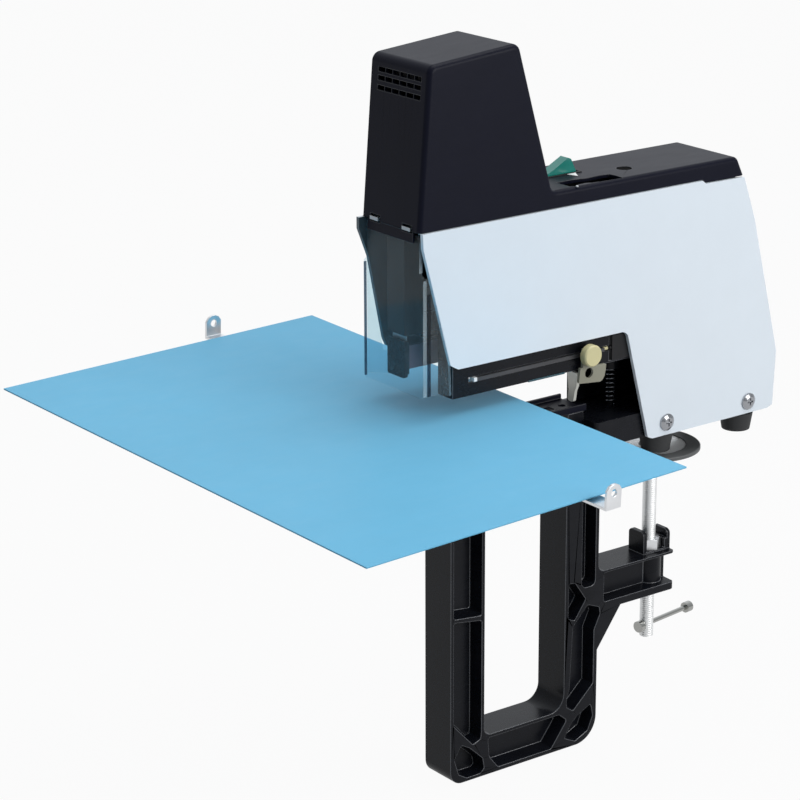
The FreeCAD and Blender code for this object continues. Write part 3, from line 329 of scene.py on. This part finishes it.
WEARS = {
    "cast": ("saddle_frame", "base_casting", "upper_arm", "head_arm", "nose_plate"),
    "cover": ("bed_rails", "top_cover", "rear_cover"),
    "steel": ("anvil_block", "arm_pivot_pin", "driver_blade", "driver_holder", "plunger"),
    "chrome": ("anvil_plate", "tommy_bar", "tommy_cap_near", "tommy_cap_far"),
    "panel": ("side_panel_right",),
    "panel_far_painted_shade": ("side_panel_left",),
    "black": ("rocker_bezel", "power_inlet", "driver_housing", "micro_switch", "solenoid_yoke",
        "force_slider"),
    "lens_black_and_painted_shade": ("slider_well", "status_lens"),
    "board": ("control_board",),
    "lip": ("arm_lip",),
    "tape": ("solenoid_coil",),
    "bright": ("clamp_nut", "support_strip"),
    "foam": ("strip_pad_right", "strip_pad_left"),
    "spring": ("return_spring", "pusher_spring"),
    "channel": ("magazine_channel",),
    "zinc": ("staple_strip",),
    "white": ("staple_pusher", "rail_tip"),
    "guard": ("front_guard",),
    "dark_steel": ("stop_rail",),
    "beige": ("stop_bracket",),
    "dull_zinc": ("stop_finger",),
    "cream": ("stop_knob",),
    "teal": ("rocker_switch",),
    "pad": ("clamp_pad",),
    "spindle": ("clamp_spindle",),
    "sheet": ("flat_table",),
}
FINISH = {node: finish for finish, group in WEARS.items() for node in group}

# Bevels that may meet across narrow faces

FREE = ("saddle_frame", "top_cover")

# Lighter finish for the faces of a rounded edge: a painted highlight along the edge

EDGE_HIGHLIGHTS = {"cast": "cast_highlight", "cover": "cover_highlight", "panel": "panel_highlight"}

# Width of a rounded edge in mm

PLAIN_ROUND = 0.2
ROUNDED = {
    0.1: ("front_guard", "flat_table"),
    0.15: ("support_strip",),
    0.25: ("stop_bracket", "stop_finger"),
    0.3: ("saddle_frame", "nose_plate", "head_arm", "rocker_bezel"),
    0.35: ("side_panel_right", "side_panel_left", "top_cover", "stop_knob"),
    0.4: ("rear_cover", "bed_rails"),
    0.5: ("upper_arm", "clamp_nut", "clamp_pad"),
    0.6: ("rocker_switch",),
    0.7: ("base_casting",),
}
ROUND = {node: width for width, group in ROUNDED.items() for node in group}


def finish_of(name):
    if name.startswith("panel_screw"):
        return "bolt"
    if name.startswith("rubber_foot"):
        return "rubber"
    return FINISH[name]


def dress(name, item):
    """Finish, rounded edges and even shading of one CAD node."""
    finish = finish_of(name)
    item.data.materials.clear()
    item.data.materials.append(M[finish])
    item.data.shade_smooth()
    weld = item.modifiers.new("weld", "WELD")
    weld.merge_threshold = 0.01 * MM
    width = ROUND.get(name, PLAIN_ROUND)
    bevel = item.modifiers.new("edge", "BEVEL")
    bevel.width = width * MM
    bevel.segments = 3 if width > 0.3 else 2
    bevel.limit_method = "ANGLE"
    bevel.angle_limit = math.radians(32)
    bevel.use_clamp_overlap = name not in FREE
    # Bevel faces get the lighter edge finish, a painted highlight.
    if finish in EDGE_HIGHLIGHTS:
        item.data.materials.append(M[EDGE_HIGHLIGHTS[finish]])
        bevel.material = 1
    flat = item.modifiers.new("flat", "WEIGHTED_NORMAL")
    flat.weight = 100


for name, item in nodes.items():
    dress(name, item)


# Mesh helpers


def mesh_piece(name, verts, faces, finish, body, smooth=False, bevel=0.0):
    """Mesh from points in mm, with outward faces, that rides on a body."""
    data = bpy.data.meshes.new(name)
    data.from_pydata([Vector(v) * MM for v in verts], [], faces)
    data.validate()
    bm = bmesh.new()
    bm.from_mesh(data)
    bmesh.ops.recalc_face_normals(bm, faces=bm.faces)
    bm.to_mesh(data)
    bm.free()
    item = bpy.data.objects.new(name, data)
    bpy.context.scene.collection.objects.link(item)
    item.data.materials.append(M[finish])
    if smooth:
        data.shade_smooth()
    if bevel:
        data.shade_smooth()
        edge = item.modifiers.new("edge", "BEVEL")
        edge.width = bevel * MM
        edge.segments = 3
        edge.limit_method = "ANGLE"
        edge.angle_limit = math.radians(32)
        edge.harden_normals = True
    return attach(item, body)


def block(name, low, high, finish, body, bevel):
    """Box between two corners."""
    a, b, c = low
    d, e, f = high
    verts = [(x, y, z) for x in (a, d) for y in (b, e) for z in (c, f)]
    faces = [(0, 1, 3, 2), (4, 6, 7, 5), (0, 4, 5, 1), (2, 3, 7, 6), (0, 2, 6, 4), (1, 5, 7, 3)]
    return mesh_piece(name, verts, faces, finish, body, bevel=bevel)


def plate(name, axis, outline, low, high, finish, body, bevel):
    """Flat outline given on the two other axes, thick from low to high along the axis."""
    def point(a, b, w):
        return {"x": (w, a, b), "y": (a, w, b), "z": (a, b, w)}[axis]
    count = len(outline)
    verts = [point(a, b, low) for a, b in outline] + [point(a, b, high) for a, b in outline]
    faces = [tuple(range(count)), tuple(range(2 * count - 1, count - 1, -1))]
    for i in range(count):
        j = (i + 1) % count
        faces.append((i, i + count, j + count, j))
    return mesh_piece(name, verts, faces, finish, body, bevel=bevel)


def lathe(name, axis, centre, profile, finish, body, steps):
    """Turned form: profile is (radius, distance along the axis) from centre."""
    verts = []
    for radius, along in profile:
        for i in range(steps):
            angle = 2 * math.pi * i / steps
            p, q = radius * math.cos(angle), radius * math.sin(angle)
            local = {"x": (along, p, q), "y": (p, along, q), "z": (p, q, along)}[axis]
            verts.append(tuple(c + v for c, v in zip(centre, local)))
    faces = []
    for k in range(len(profile) - 1):
        for i in range(steps):
            j = (i + 1) % steps
            faces.append((k * steps + i, k * steps + j, (k + 1) * steps + j, (k + 1) * steps + i))
    faces.append(tuple(range(steps)))
    faces.append(tuple(range((len(profile) - 1) * steps, len(profile) * steps)))
    item = mesh_piece(name, verts, faces, finish, body)
    item.data.shade_smooth()
    soft = item.modifiers.new("edge", "BEVEL")
    soft.width = 0.08 * MM
    soft.segments = 2
    soft.limit_method = "ANGLE"
    soft.angle_limit = math.radians(28)
    soft.harden_normals = True
    return item


def tube(name, path, radius, finish, body, sides, up):
    """Round wire along a list of points, which never runs along up."""
    points = [Vector(p) for p in path]
    verts = []
    up = Vector(up)
    for i, p in enumerate(points):
        way = (points[min(i + 1, len(points) - 1)] - points[max(i - 1, 0)]).normalized()
        side = way.cross(up).normalized()
        top = side.cross(way)
        for k in range(sides):
            angle = 2 * math.pi * k / sides
            verts.append(tuple(p + (side * math.cos(angle) + top * math.sin(angle)) * radius))
    faces = []
    for i in range(len(points) - 1):
        for k in range(sides):
            n = (k + 1) % sides
            faces.append((i * sides + k, i * sides + n, (i + 1) * sides + n, (i + 1) * sides + k))
    faces.append(tuple(range(sides)))
    faces.append(tuple(range((len(points) - 1) * sides, len(points) * sides)))
    return mesh_piece(name, verts, faces, finish, body, smooth=True)


# Threaded spindle


def spindle():
    """Turned rows of points whose radius follows the thread."""
    steps = 40
    rows_per_turn = 8
    rows = int((THREAD_HIGH - THREAD_LOW) / THREAD_PITCH * rows_per_turn)
    verts = []
    for k in range(rows + 1):
        z = THREAD_LOW + (THREAD_HIGH - THREAD_LOW) * k / rows
        for i in range(steps):
            angle = 2 * math.pi * i / steps
            phase = ((z - THREAD_LOW) / THREAD_PITCH - i / steps) % 1.0
            r = THREAD_RADIUS - THREAD_DEPTH * (0.5 - 0.5 * math.cos(2 * math.pi * phase))
            if k == 0:
                r = r - THREAD_CHAMFER
            verts.append((r * math.cos(angle), SCREW_Y + r * math.sin(angle), z))
    faces = []
    for k in range(rows):
        for i in range(steps):
            j = (i + 1) % steps
            faces.append((k * steps + i, k * steps + j, (k + 1) * steps + j, (k + 1) * steps + i))
    faces.append(tuple(range(steps)))
    faces.append(tuple(range(rows * steps, (rows + 1) * steps)))
    item = mesh_piece("spindle_thread", verts, faces, "spindle", "spindle", smooth=True)
    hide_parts("clamp_spindle")


def coil(name, node, start, axis, radius, wire, length, turns, body):
    """Wound wire in place of a CAD spring, from start along the axis."""
    path = []
    count = turns * 36
    for i in range(count + 1):
        angle = 2 * math.pi * turns * i / count
        along = wire + (length - 2 * wire) * i / count
        p, q = radius * math.cos(angle), radius * math.sin(angle)
        local = {"y": (p, along, q), "z": (p, q, along)}[axis]
        path.append(tuple(c + v for c, v in zip(start, local)))
    up = {"y": (0, 1, 0), "z": (0, 0, 1)}[axis]
    item = tube(name, path, wire, "spring", body, sides=10, up=up)
    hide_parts(node)
    return item


def springs():
    foot = RETURN_SPRING_FOOT
    item = coil("spring_wire", "return_spring", foot, "z", 2.55, 0.5, RETURN_SPRING_LENGTH, 8, "frame")
    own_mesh(item)
    x, y, z = PUSHER_SPRING_START
    length = PUSHER_SPRING_LENGTH
    item = coil("pusher_wire", "pusher_spring", (x, y, z), "y", 1.9, 0.3, length, 14, "head")
    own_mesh(item)


# Small parts that are only in the visual model


def deck_highlight_and_pin():
    # A thin white triangle on the deck: a painted highlight.
    highlight_outline = [(-1.5, 113.8), (-0.9, 119.9), (5.8, 116.0)]
    plate("deck_highlight", "z", highlight_outline, DECK_TOP + 0.12, DECK_TOP + 0.4, "white", "frame", bevel=0.05)
    pin = [(0.75, 0.0), (0.75, 0.5), (0.5, 0.75)]
    lathe("deck_pin", "z", (23.3, 100.6, DECK_TOP), pin, "pale", "frame", steps=20)


def guard_hooks():
    for side, x in (("right", HOOK_X), ("left", -HOOK_X)):
        low = (x - 3.4, -4.85, 151.25)
        block("hook_" + side, low, (x + 3.4, -4.4, 153.1), "pale", "guard", bevel=0.15)


def rail_button():
    button = [(0.95, 0.0), (0.95, 4.1), (0.7, 4.35)]
    lathe("rail_button", "y", (21.3, 121.1, 67.0), button, "cream", "trigger", steps=24)


def pad_disc():
    face = [(19.6, 0.0), (19.6, 0.15), (19.4, 0.2)]
    lathe("pad_face", "z", (0.0, SCREW_Y, PAD_FACE_TOP - 0.2), face, "pad_face", "pad", steps=72)


def strip(name, low, high, finish):
    block(name, low, high, finish, "guard", bevel=0.0)


def guard_edges():
    """Strips on the bent, glued and cut edges of the clear guard. The paler ones are a painted highlight,
    partly the bend's own haze; the darker ones are painted shade, partly the glue's own tint at the
    joint.
    """
    inner = GUARD_HALF - 0.05
    outer = GUARD_HALF + 0.06
    strip("guard_bend", (inner, GUARD_FRONT + 0.05, GUARD_FOOT), (outer, -0.4, GUARD_SHOULDER), "bend_haze_and_edge_highlight")
    neck = GUARD_NECK_HALF
    strip("guard_top_bend", (neck - 0.05, GUARD_FRONT + 0.02, 130.0), (neck + 0.06, -0.7, 146.0), "bend_haze_and_edge_highlight")
    strip("guard_glue", (inner, 0.0, GUARD_FOOT), (outer, 2.2, 119.0), "glue_tint_and_edge_shade")
    strip("guard_far_edge", (-GUARD_HALF - 0.05, GUARD_FRONT - 0.05, GUARD_FOOT),
          (-24.9, -1.42, GUARD_SHOULDER), "glue_tint_and_edge_shade")
    rear = [(14.4, 79.0), (15.1, 62.4), (15.5, 62.6), (14.8, 79.2), (9.0, 100.0), (8.6, 99.8)]
    plate("guard_rear_edge", "x", rear, 24.3, GUARD_HALF + 0.05, "bend_haze_and_edge_highlight", "guard", bevel=0.0)


spindle()
springs()
deck_highlight_and_pin()
guard_hooks()
rail_button()
pad_disc()
guard_edges()


# Light, floor and camera


def floor():
    half = FLOOR_HALF
    corners = [(-half, -half), (half, -half), (half, half), (-half, half)]
    verts = [(x, y, FLOOR_Z) for x, y in corners]
    data = bpy.data.meshes.new("floor")
    data.from_pydata([Vector(v) * MM for v in verts], [], [(0, 1, 2, 3)])
    item = bpy.data.objects.new("floor", data)
    bpy.context.scene.collection.objects.link(item)
    t = Tree("floor")
    matt = t.add("ShaderNodeBsdfDiffuse")
    matt.inputs["Color"].default_value = (0.34, 0.345, 0.36, 1.0)
    glow = t.add("ShaderNodeEmission")
    glow.inputs["Color"].default_value = (1.0, 1.0, 1.0, 1.0)
    path = t.add("ShaderNodeLightPath")
    mirror = t.add("ShaderNodeMath", operation="MULTIPLY")
    t.join(path.outputs["Is Glossy Ray"], mirror, 0)
    mirror.inputs[1].default_value = 0.55
    seen = t.add("ShaderNodeMath", operation="MAXIMUM")
    t.join(path.outputs["Is Camera Ray"], seen, 0)
    t.join(mirror.outputs[0], seen, 1)
    share = t.add("ShaderNodeMath", operation="MULTIPLY")
    t.join(seen.outputs[0], share, 0)
    share.inputs[1].default_value = 0.95
    mixed = t.add("ShaderNodeMixShader")
    t.join(share.outputs[0], mixed, 0)
    t.join(matt.outputs[0], mixed, 1)
    t.join(glow.outputs[0], mixed, 2)
    t.join(mixed.outputs[0], t.out, "Surface")
    data.materials.append(t.material)


def lamp(name, place, aim, size, power):
    data = bpy.data.lights.new(name, "AREA")
    data.shape = "RECTANGLE"
    data.size, data.size_y = size
    data.energy = power
    item = bpy.data.objects.new(name, data)
    bpy.context.scene.collection.objects.link(item)
    item.location = place
    item.rotation_mode = "QUATERNION"
    item.rotation_quaternion = (Vector(aim) - Vector(place)).to_track_quat("-Z", "Y")


def world():
    """Pale room, brighter above and toward the wall behind on the left."""
    room = bpy.data.worlds.new("studio")
    bpy.context.scene.world = room
    room.use_nodes = True
    tree = room.node_tree
    tree.nodes.clear()
    out = tree.nodes.new("ShaderNodeOutputWorld")
    back = tree.nodes.new("ShaderNodeBackground")
    back.inputs["Color"].default_value = (0.93, 0.96, 1.0, 1.0)
    place = tree.nodes.new("ShaderNodeTexCoord")
    parts = tree.nodes.new("ShaderNodeSeparateXYZ")
    tree.links.new(place.outputs["Generated"], parts.inputs[0])

    def ramp(start, low, high, dark, light):
        node = tree.nodes.new("ShaderNodeMapRange")
        node.inputs["From Min"].default_value = low
        node.inputs["From Max"].default_value = high
        node.inputs["To Min"].default_value = dark
        node.inputs["To Max"].default_value = light
        tree.links.new(start, node.inputs["Value"])
        return node.outputs[0]

    climb = ramp(parts.outputs["Z"], 0.0, 0.9, 0.36, 0.6)
    wall = tree.nodes.new("ShaderNodeVectorMath")
    wall.operation = "DOT_PRODUCT"
    wall.inputs[1].default_value = (-0.8, 0.6, 0.0)
    tree.links.new(place.outputs["Generated"], wall.inputs[0])
    side = ramp(wall.outputs["Value"], 0.3, 1.0, 0.0, 0.55)
    both = tree.nodes.new("ShaderNodeMath")
    both.operation = "ADD"
    tree.links.new(climb, both.inputs[0])
    tree.links.new(side, both.inputs[1])
    tree.links.new(both.outputs[0], back.inputs["Strength"])
    tree.links.new(back.outputs[0], out.inputs["Surface"])


def camera():
    data = bpy.data.cameras.new("camera")
    item = bpy.data.objects.new("camera", data)
    bpy.context.scene.collection.objects.link(item)
    azimuth, elevation, roll = (math.radians(v) for v in CAMERA_DEGREES)
    back = Vector((math.sin(azimuth) * math.cos(elevation), -math.cos(azimuth) * math.cos(elevation),
                   math.sin(elevation)))
    right = Vector((math.cos(azimuth), math.sin(azimuth), 0))
    up = back.cross(right)
    turned = right * math.cos(roll) + up * math.sin(roll)
    raised = up * math.cos(roll) - right * math.sin(roll)
    pose = Matrix((turned, raised, back)).transposed().to_4x4()
    pose.translation = Vector(CAMERA_PLACE) * MM
    item.matrix_world = pose
    data.sensor_width = SENSOR_WIDTH
    data.lens = FOCAL_SHARE * SENSOR_WIDTH
    data.clip_start = 0.05
    data.clip_end = 50.0
    bpy.context.scene.camera = item


floor()
world()
lamp("top", (0.2, 0.4, 1.6), (0, 0.05, 0.1), (1.2, 1.2), 14)
lamp("key", (1.35, 0.62, 0.5), (0, 0.1, 0.08), (0.9, 0.9), 13)
camera()
bpy.context.scene.view_settings.view_transform = "Standard"
